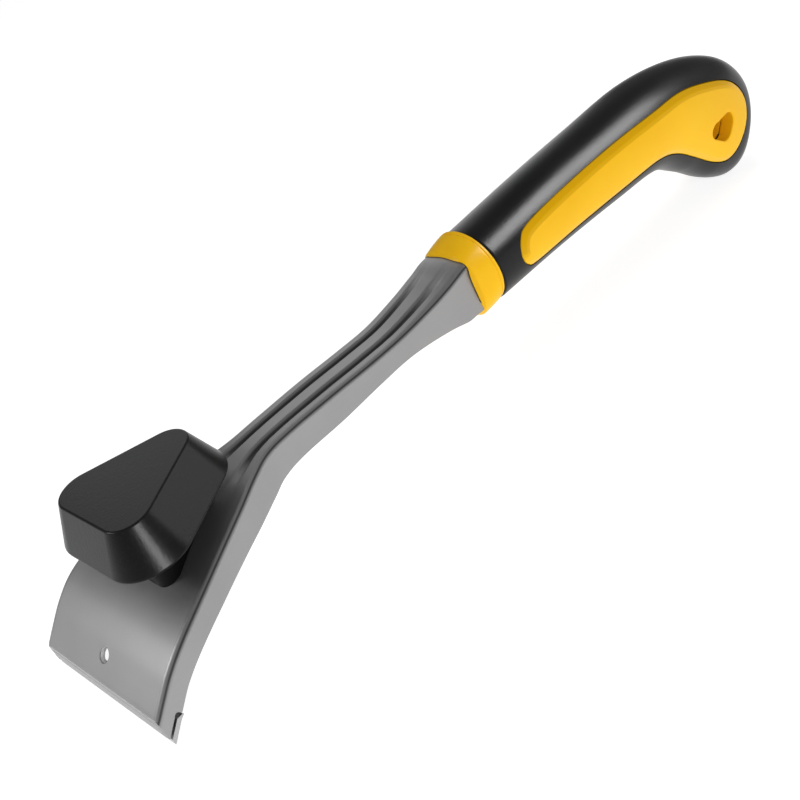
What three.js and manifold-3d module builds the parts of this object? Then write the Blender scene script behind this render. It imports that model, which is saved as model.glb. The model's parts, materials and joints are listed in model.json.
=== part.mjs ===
// Two-handed floor scraper: a pressed steel channel with a clamped blade, a second-hand knob and a
// moulded handle. Units are millimetres. The tool is drawn along X in its own plane (blade at -X, handle
// at +X, knob on +Z) and is then tilted so that the blade's edge and the tail of the handle both rest on
// the floor.

import * as THREE from 'three';
import { mergeVertices } from 'three/addons/utils/BufferGeometryUtils.js';
import Module from 'manifold-3d';

const wasm = await Module();
wasm.setup();

// ------------------------------------------------------------------------------ driving dimensions

const GAP = 0.3; // clearance left between neighbouring pieces
const SHEET = 1.6; // thickness of the pressed steel channel
const BEND = 2.5; // outside radius of the bend between web and flanges

// The channel's web from the tang's end to the blade: x, z of the web's top, half width, flange depth,
// height of the web's crown and depth of the two pressed grooves.
const CHANNEL = [
  [62, -4.6, 6.0, 9.5, 0, 0],
  [24, -3.0, 6.3, 10.5, 0, 0],
  [10, -1.4, 6.9, 12.5, 0.6, 0],
  [0, 0.8, 9.7, 17.4, 1.7, 0],
  [-9, -0.4, 9.9, 16.0, 1.2, 0.2],
  [-18, -1.5, 9.6, 12.0, 0.6, 0.8],
  [-32, -2.3, 9.1, 8.6, 0, 1.2],
  [-46, -1.6, 9.2, 8.7, 0, 1.2],
  [-62, -0.3, 9.2, 10.0, 0, 1.2],
  [-80, 0.7, 9.0, 10.4, 0, 1.2],
  [-90, 0.7, 9.6, 11.1, 0, 1.2],
  [-98, -0.1, 12.4, 11.2, 0, 0.6],
  [-108, -1.4, 17.0, 10.4, 0, 0],
  [-119, -2.8, 21.8, 9.5, 0, 0],
  [-131, -4.6, 26.8, 8.7, 0, 0],
  [-140, -6.8, 29.6, 8.1, 0, 0],
  [-147.5, -9.9, 30.8, 7.7, 0, 0],
  [-154, -14.1, 31, 7.3, 0, 0],
  [-159, -18.35, 31, 7.2, 0, 0],
];

const FRONT = { x: -163.9, z: -22.8, slope: THREE.MathUtils.degToRad(43) }; // top of the web's front edge
const HEAD_HALF = 31; // half width of the head and of the blade
const BLADE = { top: -5.9, bottom: -7.4, rear: 2.4, face: -163.4 };
const SEAT = { top: -1.9, bottom: -5.6, rear: 0.8, half: 29.0 };
// The notch in each flange's end: its ceiling, its back wall and the round relief at its inner corner.
const NOTCH = {
  top: -5.0, rear: 2.8, bevel: 1.4, foot: -14, reliefAlong: 2.0, reliefOut: -5.8, relief: 0.9,
};
const SIGHT_HOLE = { along: 7.5, radius: 2.15 };

const KNOB_AXIS = -125.9; // x of the clamp bolt and the knob
const KNOB = { base: 5.45, height: 14, half: 24.5, median: 46, corner: 7.9, draft: 6, edge: 0.9 };
const PEDESTAL_INSET = 9.7; // how far the pedestal's outline lies inside the knob's base
const BOLT = {
  radius: 3.9, hole: 4.3, top: 13.2, chamfer: 0.8,
  headRadius: 8.5, head: 2.6, rim: 0.6, square: 4, neck: 3.1,
};
const WASHER = { radius: 9, thickness: 1 };
const INSERT = { radius: 7.5, bore: 4.25, height: 8.6 };

const CLAMP = { thickness: 1.6, level: -9.6, below: 0.7, lipFront: -2, lipRear: 6.2 };
// Middle line of the clamp plate behind its front lip, as x, z.
const CLAMP_LINE = [
  [-147, -18.2], [-141, -13], [-136.5, CLAMP.level], [-113, CLAMP.level], [-109.4, -8], [-107.6, -4.6],
];
// One side of the clamp plate seen from above, as x, y.
const CLAMP_PLAN = [[-170, 26], [-147, 26], [-132, 10.5], [-100, 10.5]];
const CLAMP_WINDOW = { front: -157.6, rear: -149, inner: 9.5, outer: 20.5, corner: 2 };

// The collar's front is a soft oblong round the channel and its rear is round.
const COLLAR = {
  front: -1, rear: 8.7, radius: 13.9, centre: -7.5,
  frontHalf: 11.2, frontTall: 12.1, frontCentre: -8.6, edge: 0.7,
};

// The handle from the collar to the tail: x, z along its back, x, z along its belly, and its half width.
const HANDLE = [
  [9, 4.8, 9, -21.2, 13.5],
  [43, 4.9, 41.5, -23.4, 13.4],
  [74, 4.0, 71.5, -26.2, 13.9],
  [104, 2.6, 95.5, -29.4, 14.6],
  [128, -2.8, 111, -39.5, 14.6],
  [145.6, -11.6, 122, -49.2, 14.3],
  [154.6, -22.5, 130, -54.4, 13.2],
  [153.2, -31, 135.4, -56.2, 11.0],
  [147.6, -39.4, 137.6, -55.8, 8.6],
  [143.2, -46, 140, -54, 5.6],
  [141.2, -49.4, 140.4, -51.8, 2.4],
];
// Squareness of the handle's cross section at the grip and, from full on, at the tail.
const SQUARENESS = { grip: 2.25, tail: 1.9, from: 0.5, full: 0.8 };
const GRIP_SKIN = 2.8; // thickness of the soft grip over the core
const CORE_HALF = 9.4; // greatest half width of the core
const HOLLOW_END = 0.62; // share of the handle's length at which the grip's hollow stops
const CORE_SHORT = 0.015; // share by which the core stops before the hollow
const INLAY = { floor: 10.0, proud: 0.5 };
// The side inlay's outline, as x, z, from its front end along the top, round the tail and back.
const INLAY_LINE = [
  [27, -2.2], [46, -1.9], [72, -2.7], [95, -4.3], [112, -6.2], [127, -11.3], [139, -17.8], [144.6, -26],
  [142.4, -34.6], [136, -41.6], [129.4, -44.9], [122, -41.6], [112, -32.8], [103, -25.4],
  [93, -21.2], [74, -19.6],
  [50, -17.9], [27, -16.4], [21.2, -14.2], [19.2, -9.6], [21.4, -4.6],
];
const HANG_HOLE = { corners: [[114.8, -25.8], [136.4, -25.6], [127.6, -36.2]], round: 3 };
const PINS = { radius: 2, half: 8.6, level: -9.5, places: [28, 52] };
const REACH = 60; // how far a cutting form runs past the piece that it cuts

// ------------------------------------------------------------------------------- solids and curves

function solidOf(geometry) {
  const bare = geometry.index ? geometry.toNonIndexed() : geometry.clone();
  bare.deleteAttribute('normal');
  bare.deleteAttribute('uv');
  const merged = mergeVertices(bare, 1e-4);
  const mesh = new wasm.Mesh({
    numProp: 3,
    vertProperties: new Float32Array(merged.attributes.position.array),
    triVerts: new Uint32Array(merged.index.array),
  });
  return new wasm.Manifold(mesh);
}

function geometryOf(solid) {
  const mesh = solid.getMesh();
  const geometry = new THREE.BufferGeometry();
  geometry.setAttribute('position', new THREE.BufferAttribute(new Float32Array(mesh.vertProperties), 3));
  geometry.setIndex(new THREE.BufferAttribute(new Uint32Array(mesh.triVerts), 1));
  geometry.computeVertexNormals();
  return geometry;
}

// A closed skin over rings of equal length, with its two ends filled. The end rings are also given as
// 2D outlines.
// Rings and outlines run anticlockwise.
function loft(rings, [firstOutline, lastOutline]) {
  const count = rings[0].length;
  const faces = [];
  for (let i = 0; i + 1 < rings.length; i += 1) {
    for (let j = 0; j < count; j += 1) {
      const a = i * count + j;
      const b = i * count + ((j + 1) % count);
      faces.push([a, b, b + count], [a, b + count, a + count]);
    }
  }
  const last = (rings.length - 1) * count;
  for (const [p, q, r] of THREE.ShapeUtils.triangulateShape(firstOutline, [])) faces.push([r, q, p]);
  for (const [p, q, r] of THREE.ShapeUtils.triangulateShape(lastOutline, [])) {
    faces.push([last + p, last + q, last + r]);
  }
  const geometry = new THREE.BufferGeometry().setFromPoints(rings.flat());
  geometry.setIndex(faces.flat());
  if (signedVolume(geometry) < 0) geometry.setIndex(faces.flat().reverse());
  return geometry;
}

function signedVolume(geometry) {
  const position = geometry.attributes.position;
  const index = geometry.index;
  const a = new THREE.Vector3();
  const b = new THREE.Vector3();
  const c = new THREE.Vector3();
  let volume = 0;
  for (let i = 0; i < index.count; i += 3) {
    a.fromBufferAttribute(position, index.getX(i));
    b.fromBufferAttribute(position, index.getX(i + 1));
    c.fromBufferAttribute(position, index.getX(i + 2));
    volume += a.dot(b.cross(c)) / 6;
  }
  return volume;
}

// An outline in the XZ plane, made solid from y0 to y1.
function prismAlongY(points, y0, y1) {
  const shape = new THREE.Shape(points.map(([x, z]) => new THREE.Vector2(x, z)));
  const geometry = new THREE.ExtrudeGeometry(shape, { depth: y1 - y0, bevelEnabled: false });
  return geometry.rotateX(Math.PI / 2).translate(0, y1, 0);
}

// An outline in the XY plane, made solid from z0 to z1.
function prismAlongZ(points, z0, z1) {
  const shape = new THREE.Shape(points.map(([x, y]) => new THREE.Vector2(x, y)));
  return new THREE.ExtrudeGeometry(shape, { depth: z1 - z0, bevelEnabled: false }).translate(0, 0, z0);
}

function rod(radius, from, to, sides = 24) {
  const axis = new THREE.Vector3().subVectors(to, from);
  const geometry = new THREE.CylinderGeometry(radius, radius, axis.length(), sides);
  const upright = new THREE.Vector3(0, 1, 0);
  const turn = new THREE.Quaternion().setFromUnitVectors(upright, axis.clone().normalize());
  return geometry.applyQuaternion(turn).translate(...from.clone().add(to).multiplyScalar(0.5).toArray());
}

const uprightRod = (radius, z0, z1, sides) =>
  rod(radius, new THREE.Vector3(KNOB_AXIS, 0, z0), new THREE.Vector3(KNOB_AXIS, 0, z1), sides);

// Values between the rows of a table, smoothly, at t from 0 (first row) to 1 (last row).
function tableCurve(rows) {
  const width = rows[0].length;
  const groups = [];
  for (let i = 0; i < width; i += 3) {
    const points = rows.map((row) => new THREE.Vector3(row[i], row[i + 1] ?? 0, row[i + 2] ?? 0));
    groups.push(new THREE.CatmullRomCurve3(points, false, 'catmullrom', 0.5));
  }
  return (t) => groups.flatMap((curve) => curve.getPoint(t).toArray()).slice(0, width);
}

// A convex outline, anticlockwise, whose corners are arcs of the given radius.
function roundedOutline(corners, radius, steps = 6) {
  const points = [];
  corners.forEach((corner, i) => {
    const here = new THREE.Vector2(...corner);
    const before = new THREE.Vector2(...corners.at(i - 1)).sub(here).normalize();
    const after = new THREE.Vector2(...corners[(i + 1) % corners.length]).sub(here).normalize();
    const halfAngle = Math.acos(THREE.MathUtils.clamp(before.dot(after), -1, 1)) / 2;
    const halfway = before.clone().add(after).normalize();
    const centre = halfway.multiplyScalar(radius / Math.sin(halfAngle)).add(here);
    const sweep = Math.PI - 2 * halfAngle;
    const start = centre.clone().sub(here).negate().angle() - sweep / 2;
    for (let k = 0; k <= steps; k += 1) {
      const angle = start + (sweep * k) / steps;
      points.push([centre.x + radius * Math.cos(angle), centre.y + radius * Math.sin(angle)]);
    }
  });
  return points;
}

// -------------------------------------------------------------------------------- the head's frame

const alongHead = new THREE.Vector2(Math.cos(FRONT.slope), Math.sin(FRONT.slope));
const outOfHead = new THREE.Vector2(-Math.sin(FRONT.slope), Math.cos(FRONT.slope));

// A point of the sloping head: along the web towards the handle, and out of the web.
function headPoint(along, out) {
  const x = FRONT.x + along * alongHead.x + out * outOfHead.x;
  const z = FRONT.z + along * alongHead.y + out * outOfHead.y;
  return [x, z];
}

// ----------------------------------------------------------------------------------- steel channel

const channelRows = [...CHANNEL, [FRONT.x, FRONT.z, HEAD_HALF, 7.1, 0, 0]];
const channelAt = tableCurve(channelRows);

// Half of the channel's section, from the middle of the web out to the foot of the flange.
function channelHalf(half, depth, crown, groove, grow, inside) {
  const flat = half - BEND;
  const drop = inside ? -SHEET - grow : grow;
  const radius = inside ? BEND - SHEET - grow : BEND + grow;
  const arch = (y) => crown * (1 - (y / half) ** 2);
  const points = [[0, 0], [0.3, 0], [0.45, 1], [0.6, 1], [0.75, 0]].map(([share, press]) => {
    const y = share * flat;
    return [y, drop + arch(y) - press * groove];
  });
  for (let k = 0; k <= 4; k += 1) {
    const angle = Math.PI / 2 * (1 - k / 4);
    const y = flat + radius * Math.cos(angle);
    points.push([y, -BEND + radius * Math.sin(angle) + arch(Math.min(y, half))]);
  }
  points.push([flat + radius, -depth - grow]);
  return points;
}

function channelSection([, , half, depth, crown, groove], grow) {
  const outer = channelHalf(half, depth, crown, groove, grow, false);
  const inner = channelHalf(half, depth, crown, groove, grow, true);
  const mirror = (points) => points.slice(1).map(([y, v]) => [-y, v]);
  const top = [...mirror(outer).reverse(), ...outer];
  const under = [...mirror(inner).reverse(), ...inner];
  return [...under, ...top.reverse()].map(([y, v]) => new THREE.Vector2(y, v));
}

// The channel from its tang to just past the front edge, swelled by grow.
function channelSolid(grow = 0, steps = 2) {
  const rings = [];
  const sections = [];
  const addRing = (values, tangent) => {
    const section = channelSection(values, grow);
    sections.push(section);
    const [x, z] = values;
    rings.push(section.map((p) => new THREE.Vector3(x - tangent.y * p.y, p.x, z + tangent.x * p.y)));
  };
  const spans = (channelRows.length - 1) * steps;
  for (let i = 0; i <= spans; i += 1) {
    const before = channelAt(Math.max(0, (i - 0.5) / spans));
    const after = channelAt(Math.min(1, (i + 0.5) / spans));
    const tangent = new THREE.Vector2(before[0] - after[0], before[1] - after[1]).normalize();
    addRing(channelAt(i / spans), tangent);
  }
  addRing([...headPoint(-9, 0), ...channelRows.at(-1).slice(2)], alongHead);
  return solidOf(loft(rings, [sections[0], sections.at(-1)]));
}

// The notches in the ends of both flanges, where the blade lies.
function bladeNotch() {
  const { top, rear, bevel, foot, reliefAlong, reliefOut, relief } = NOTCH;
  const outline = [
    headPoint(-12, top),
    headPoint(rear - bevel, top),
    headPoint(rear, top - bevel),
    headPoint(rear, foot),
    headPoint(-12, foot),
  ];
  const slot = solidOf(prismAlongY(outline, -REACH, REACH));
  const [x, z] = headPoint(reliefAlong, reliefOut);
  const reliefStart = new THREE.Vector3(x, -REACH, z);
  const reliefEnd = new THREE.Vector3(x, REACH, z);
  return slot.add(solidOf(rod(relief, reliefStart, reliefEnd, 16)));
}

function scraperBody() {
  const [x0, z0] = headPoint(SIGHT_HOLE.along, 4);
  const [x1, z1] = headPoint(SIGHT_HOLE.along, -5);
  const sightHole = rod(SIGHT_HOLE.radius, new THREE.Vector3(x0, 0, z0), new THREE.Vector3(x1, 0, z1), 28);
  return geometryOf(
    cutBefore(channelSolid(), FRONT.x)
      .subtract(bladeNotch())
      .subtract(solidOf(sightHole))
      .subtract(solidOf(uprightRod(BOLT.hole, -20, 10, 28)))
      .subtract(pinHoles(PINS.radius + GAP)),
  );
}

// --------------------------------------------------------------------------- blade, seat and clamp

function bladeSeat() {
  const outline = [
    headPoint(SEAT.rear, SEAT.top),
    headPoint(SEAT.rear, SEAT.bottom),
    pointOnFace(FRONT.x, SEAT.bottom),
    pointOnFace(FRONT.x, SEAT.top),
  ];
  return prismAlongY(outline, -SEAT.half, SEAT.half);
}

// Where a line parallel to the head's web, out of it by the given distance, meets an upright plane at x.
function pointOnFace(x, out) {
  return headPoint((x - FRONT.x - out * outOfHead.x) / alongHead.x, out);
}

function blade() {
  const { top, bottom, rear, face } = BLADE;
  const outline = [
    pointOnFace(face, top),
    pointOnFace(face, bottom),
    headPoint(rear - 1.6, bottom),
    headPoint(rear, bottom - 0.35),
    headPoint(rear, bottom + 0.25),
    headPoint(rear - 1.4, top),
  ];
  return prismAlongY(outline, -HEAD_HALF, HEAD_HALF);
}

// The clamp plate's side view: its middle line thickened, from the lip under the blade to the heel under
// the web.
function clampProfile() {
  const lip = BLADE.bottom - CLAMP.below - CLAMP.thickness / 2;
  const ends = [headPoint(CLAMP.lipFront, lip), headPoint(CLAMP.lipRear, lip)];
  const line = [...ends, ...CLAMP_LINE].map((p) => new THREE.Vector2(...p));
  const upper = [];
  const lower = [];
  line.forEach((point, i) => {
    const before = line[Math.max(0, i - 1)];
    const after = line[Math.min(line.length - 1, i + 1)];
    const across = after.clone().sub(before).normalize().rotateAround(new THREE.Vector2(), Math.PI / 2);
    upper.push(point.clone().addScaledVector(across, CLAMP.thickness / 2).toArray());
    lower.push(point.clone().addScaledVector(across, -CLAMP.thickness / 2).toArray());
  });
  return [...lower, ...upper.reverse()];
}

function clampPlate() {
  const otherSide = CLAMP_PLAN.map(([x, y]) => [x, -y]).reverse();
  const square = new THREE.BoxGeometry(2 * (BOLT.square + GAP), 2 * (BOLT.square + GAP), REACH);
  let plate = solidOf(prismAlongY(clampProfile(), -HEAD_HALF, HEAD_HALF))
    .intersect(solidOf(prismAlongZ([...CLAMP_PLAN, ...otherSide], -REACH, REACH)))
    .subtract(solidOf(square.translate(KNOB_AXIS, 0, 0)));
  const { front, rear, inner, outer, corner } = CLAMP_WINDOW;
  for (const [y0, y1] of [[inner, outer], [-outer, -inner]]) {
    const window = roundedOutline([[front, y0], [rear, y0], [rear, y1], [front, y1]], corner, 4);
    plate = plate.subtract(solidOf(prismAlongZ(window, -REACH, REACH)));
  }
  return geometryOf(plate);
}

// The bolt's dome lies under the clamp plate, its square neck fills the plate's hole.
function clampBolt() {
  const { radius, top, headRadius, head, rim, chamfer, square, neck } = BOLT;
  const underPlate = CLAMP.level - CLAMP.thickness / 2 - GAP;
  const dome = [];
  for (let k = 0; k <= 6; k += 1) {
    const angle = (Math.PI / 2) * (k / 6);
    const height = underPlate - rim - (head - rim) * Math.cos(angle);
    dome.push(new THREE.Vector2(headRadius * Math.sin(angle), height));
  }
  const profile = [
    ...dome,
    new THREE.Vector2(headRadius, underPlate),
    new THREE.Vector2(radius, underPlate),
    new THREE.Vector2(radius, top - chamfer),
    new THREE.Vector2(radius - chamfer, top),
    new THREE.Vector2(0, top),
  ];
  const turned = new THREE.LatheGeometry(profile, 24).rotateX(Math.PI / 2).translate(KNOB_AXIS, 0, 0);
  const block = new THREE.BoxGeometry(2 * square, 2 * square, neck);
  block.translate(KNOB_AXIS, 0, underPlate + neck / 2);
  return geometryOf(solidOf(turned).add(solidOf(block)));
}

// ---------------------------------------------------------------------------------------- the knob

// The knob's outline, a triangle with rounded corners, grown outwards by outset.
function knobOutline(outset) {
  const apex = Math.atan2(KNOB.half, KNOB.median);
  const rear = -KNOB.median / 3 - outset;
  const front = KNOB.median * 2 / 3 + outset / Math.sin(apex);
  const half = (front - rear) * Math.tan(apex);
  const corners = [[rear, -half], [front, 0], [rear, half]];
  return roundedOutline(corners, KNOB.corner + outset).map(([x, y]) => [KNOB_AXIS + x, y]);
}

function knobShell() {
  const { base, height, draft, edge } = KNOB;
  // Height above the base and outset of each level; the first and last two round the edges over.
  const levels = [
    [0, draft - edge],
    [edge * 0.3, draft - edge * 0.3],
    [edge, draft - edge * draft / height],
    [height - edge, edge * draft / height],
    [height - edge * 0.3, -edge * 0.2],
    [height, -edge],
  ];
  const outlines = levels.map(([, outset]) => knobOutline(outset));
  const ringAt = (outline, z) => outline.map(([x, y]) => new THREE.Vector3(x, y, z));
  const rings = outlines.map((outline, i) => ringAt(outline, base + levels[i][0]));
  const flat = (outline) => outline.map(([x, y]) => new THREE.Vector2(x, y));
  const ends = [flat(outlines[0]), flat(outlines.at(-1))];
  const pocket = uprightRod(INSERT.radius + GAP, base - 1, base + INSERT.height + 2 * GAP, 6);
  return geometryOf(solidOf(loft(rings, ends)).subtract(solidOf(pocket)));
}

function knobInsert() {
  const z0 = KNOB.base + GAP;
  const hexagon = solidOf(uprightRod(INSERT.radius, z0, z0 + INSERT.height, 6));
  return geometryOf(hexagon.subtract(solidOf(uprightRod(INSERT.bore, z0 - 1, z0 + INSERT.height + 1, 24))));
}

function thrustWasher() {
  const z1 = KNOB.base - GAP;
  const z0 = z1 - WASHER.thickness;
  const disc = solidOf(uprightRod(WASHER.radius, z0, z1, 32));
  return geometryOf(disc.subtract(solidOf(uprightRod(BOLT.hole, z0 - 1, z1 + 1, 24))));
}

// The pedestal follows the knob's outline, inset, and its foot follows the curve of the web.
function knobPedestal() {
  const top = KNOB.base - GAP;
  const webLine = channelRows.filter(([x]) => x < -80).map(([x, z]) => [x, z + GAP]);
  const below = [[FRONT.x, -REACH], [webLine[0][0], -REACH], ...webLine];
  return geometryOf(
    solidOf(prismAlongZ(knobOutline(KNOB.draft - PEDESTAL_INSET), -12, top))
      .subtract(solidOf(prismAlongY(below, -REACH, REACH)))
      .subtract(solidOf(uprightRod(WASHER.radius + GAP, top - WASHER.thickness - GAP, top + 1, 32)))
      .subtract(solidOf(uprightRod(BOLT.hole, -20, top + 1, 24))),
  );
}

// -------------------------------------------------------------------------------------- the handle

// A superellipse, anticlockwise: exponent 2 is an ellipse, higher is squarer.
function superellipse(halfWidth, halfHeight, exponent, sides) {
  const bulge = (value) => Math.sign(value) * Math.abs(value) ** (2 / exponent);
  return Array.from({ length: sides }, (_, k) => {
    const angle = (2 * Math.PI * k) / sides;
    return new THREE.Vector2(halfWidth * bulge(Math.cos(angle)), halfHeight * bulge(Math.sin(angle)));
  });
}

// The collar is round where it meets the grip and hugs the channel where the steel comes out.
function collar() {
  const { front, rear, radius, centre, frontHalf, frontTall, frontCentre, edge } = COLLAR;
  const { lerp } = THREE.MathUtils;
  const outlines = [];
  const rings = [];
  for (const share of [0, 0.09, 0.5, 0.93, 1]) {
    const inset = share === 0 || share === 1 ? edge : 0;
    const halfWidth = lerp(frontHalf, radius, share) - inset;
    const halfHeight = lerp(frontTall, radius, share) - inset;
    const outline = superellipse(halfWidth, halfHeight, lerp(3.2, 2, share), 40);
    const middle = lerp(frontCentre, centre, share);
    outlines.push(outline);
    rings.push(outline.map((p) => new THREE.Vector3(lerp(front, rear, share), p.x, middle + p.y)));
  }
  return geometryOf(solidOf(loft(rings, [outlines[0], outlines.at(-1)])).subtract(channelSolid(GAP)));
}

const handleAt = tableCurve(HANDLE);

// The handle's form from belly to back, shrunk by skin and no wider than maxHalf. Its rings lie closer at
// the tail.
function handleSolid({
  skin = 0, maxHalf = Infinity, sides = 28, spans = 26, end = 1, short = 0,
}) {
  const outlines = [];
  const rings = [];
  for (let i = 0; i <= spans; i += 1) {
    const share = Math.min(end * (1 - (1 - i / spans) ** 1.25), end - short);
    const [backX, backZ, bellyX, bellyZ, width] = handleAt(share);
    const middle = new THREE.Vector2((backX + bellyX) / 2, (backZ + bellyZ) / 2);
    const up = new THREE.Vector2(backX - bellyX, backZ - bellyZ);
    const tall = Math.max(up.length() / 2 - skin, 0.2);
    const wide = Math.max(Math.min(width - skin, maxHalf), 0.2);
    up.normalize();
    const taper = (share - SQUARENESS.from) / (SQUARENESS.full - SQUARENESS.from);
    const squareness = THREE.MathUtils.lerp(
      SQUARENESS.grip,
      SQUARENESS.tail,
      THREE.MathUtils.clamp(taper, 0, 1),
    );
    const outline = superellipse(wide, tall, squareness, sides);
    outlines.push(outline);
    rings.push(outline.map((p) => new THREE.Vector3(middle.x + up.x * p.y, p.x, middle.y + up.y * p.y)));
  }
  return solidOf(loft(rings, [outlines[0], outlines.at(-1)]));
}

// Cuts away everything in front of an upright plane at x.
function cutBefore(solid, x) {
  const before = new THREE.BoxGeometry(REACH, 2 * REACH, 2 * REACH).translate(x - REACH / 2, 0, 0);
  return solid.subtract(solidOf(before));
}

function inlayOutline(grow) {
  const curve = new THREE.CatmullRomCurve3(INLAY_LINE.map(([x, z]) => new THREE.Vector3(x, z, 0)), true);
  const points = curve.getSpacedPoints(64).slice(0, 64);
  return points.map((point, i) => {
    const before = points.at(i - 1);
    const after = points[(i + 1) % points.length];
    const out = new THREE.Vector3(before.y - after.y, after.x - before.x, 0).normalize();
    return [point.x + out.x * grow, point.y + out.y * grow];
  });
}

function hangHole() {
  const outline = roundedOutline(HANG_HOLE.corners.toReversed(), HANG_HOLE.round);
  return solidOf(prismAlongY(outline, -REACH, REACH));
}

function pinHoles(radius) {
  const [first, second] = PINS.places.map((x) => solidOf(tangPin(x, radius, REACH)));
  return first.add(second);
}

function tangPin(x, radius = PINS.radius, half = PINS.half) {
  return rod(radius, new THREE.Vector3(x, -half, PINS.level), new THREE.Vector3(x, half, PINS.level), 20);
}

function handleCore() {
  const core = handleSolid({
    skin: GRIP_SKIN + GAP, maxHalf: CORE_HALF, sides: 20, spans: 18, end: HOLLOW_END, short: CORE_SHORT,
  });
  return geometryOf(
    cutBefore(core, COLLAR.rear + GAP)
      .subtract(channelSolid(GAP))
      .subtract(pinHoles(PINS.radius + GAP))
      .subtract(hangHole()),
  );
}

function gripSleeve() {
  const hollow = handleSolid({
    skin: GRIP_SKIN, maxHalf: CORE_HALF + GAP, sides: 20, spans: 18, end: HOLLOW_END,
  });
  let grip = cutBefore(handleSolid({}), COLLAR.rear + GAP).subtract(hollow);
  for (const [y0, y1] of [[CORE_HALF, REACH], [-REACH, -CORE_HALF]]) {
    grip = grip.subtract(solidOf(prismAlongY(inlayOutline(GAP), y0, y1)));
  }
  return geometryOf(grip.subtract(hangHole()));
}

function sideInlay(side) {
  const [y0, y1] = side > 0 ? [INLAY.floor, REACH] : [-REACH, -INLAY.floor];
  const panel = solidOf(prismAlongY(inlayOutline(0), y0, y1));
  return geometryOf(panel.intersect(handleSolid({ skin: -INLAY.proud })).subtract(hangHole()));
}

// --------------------------------------------------------------------------------------- the model

const FINISH = {
  steel: { color: 0x9a9a9c, roughness: 0.42, metalness: 0.9 },
  bright: { color: 0xc9cbce, roughness: 0.25, metalness: 1 },
  black: { color: 0x1b1c1e, roughness: 0.55, metalness: 0 },
  soft: { color: 0x202123, roughness: 0.75, metalness: 0 },
  yellow: { color: 0xf6bd17, roughness: 0.4, metalness: 0 },
  brass: { color: 0xc8a35a, roughness: 0.35, metalness: 1 },
};

const tool = new THREE.Group();

function add(name, geometry, finish) {
  const mesh = new THREE.Mesh(geometry, new THREE.MeshStandardMaterial(FINISH[finish]));
  mesh.name = name;
  tool.add(mesh);
  return mesh.geometry.attributes.position;
}

add('scraper_body', scraperBody(), 'steel');
add('blade_seat', bladeSeat(), 'steel');
const bladePoints = add('blade', blade(), 'bright');
add('clamp_plate', clampPlate(), 'bright');
add('clamp_bolt', clampBolt(), 'bright');
add('knob_pedestal', knobPedestal(), 'black');
add('thrust_washer', thrustWasher(), 'bright');
add('knob_shell', knobShell(), 'black');
add('knob_insert', knobInsert(), 'brass');
add('collar', collar(), 'yellow');
add('handle_core', handleCore(), 'yellow');
const gripPoints = add('grip_sleeve', gripSleeve(), 'soft');
add('side_inlay_left', sideInlay(1), 'yellow');
add('side_inlay_right', sideInlay(-1), 'yellow');
PINS.places.forEach((x, i) => add(['tang_pin_front', 'tang_pin_rear'][i], tangPin(x), 'bright'));

// The slope of the floor under the tool: from the blade's edge to the lowest part of the tail.
function restSlope() {
  const edge = new THREE.Box3().setFromBufferAttribute(bladePoints).min;
  let slope = Infinity;
  for (let i = 0; i < gripPoints.count; i += 1) {
    slope = Math.min(slope, Math.atan2(gripPoints.getZ(i) - edge.z, gripPoints.getX(i) - edge.x));
  }
  return slope;
}

tool.rotation.y = restSlope();
tool.updateMatrixWorld(true);
const extent = new THREE.Box3().setFromObject(tool, true);
tool.position.set(-(extent.min.x + extent.max.x) / 2, 0, -extent.min.z);

const floorScraper = new THREE.Group();
floorScraper.add(tool);

export default floorScraper;
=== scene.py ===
import json
import math

import bmesh
import bpy
import numpy as np
from mathutils import Matrix, Vector
from mathutils.bvhtree import BVHTree
from mathutils.geometry import delaunay_2d_cdt
from mathutils.kdtree import KDTree


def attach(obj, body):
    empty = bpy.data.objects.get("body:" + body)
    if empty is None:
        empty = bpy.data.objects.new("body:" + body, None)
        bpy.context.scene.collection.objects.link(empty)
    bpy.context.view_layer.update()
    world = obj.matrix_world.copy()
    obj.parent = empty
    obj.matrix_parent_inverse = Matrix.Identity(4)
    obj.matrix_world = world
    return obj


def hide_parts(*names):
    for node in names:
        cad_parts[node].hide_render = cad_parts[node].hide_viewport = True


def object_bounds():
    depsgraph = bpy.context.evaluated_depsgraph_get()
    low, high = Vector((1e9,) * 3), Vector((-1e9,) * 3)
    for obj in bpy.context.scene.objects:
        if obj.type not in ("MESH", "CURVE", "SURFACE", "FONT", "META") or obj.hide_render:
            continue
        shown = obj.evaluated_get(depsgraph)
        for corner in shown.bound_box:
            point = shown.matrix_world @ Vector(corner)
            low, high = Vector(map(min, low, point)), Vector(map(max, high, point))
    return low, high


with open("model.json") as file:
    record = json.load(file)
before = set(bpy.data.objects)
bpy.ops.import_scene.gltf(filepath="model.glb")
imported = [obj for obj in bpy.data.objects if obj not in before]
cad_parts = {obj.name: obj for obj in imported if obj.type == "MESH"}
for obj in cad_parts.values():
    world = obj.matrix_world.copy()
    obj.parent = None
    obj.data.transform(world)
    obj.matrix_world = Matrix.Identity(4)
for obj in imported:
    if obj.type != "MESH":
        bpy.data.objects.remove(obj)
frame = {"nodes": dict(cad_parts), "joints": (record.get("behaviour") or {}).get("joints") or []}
cad_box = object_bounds()

# --------------------------------------------------------------------------------- the tool's frame

KNOB_X = -125.9  # the knob's axis
KNOB_BASE = 5.45  # underside of the knob
GAP = 0.3  # clearance between neighbouring pieces
REACH = 60  # how far a cutting form runs past the piece that it cuts

turn = next(joint for joint in frame["joints"] if joint["name"] == "knob_turn")
UP = Vector(turn["axis"]).normalized()
ALONG = Vector((UP.z, 0, -UP.x))
TO_ROW = Matrix((ALONG, Vector((0, 1, 0)), UP)).transposed() * 0.001
ORIGIN = Vector(turn["pos_m"]) - TO_ROW @ Vector((KNOB_X, 0, KNOB_BASE))
TOOL = Matrix.Translation(ORIGIN) @ TO_ROW.to_4x4()

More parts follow.
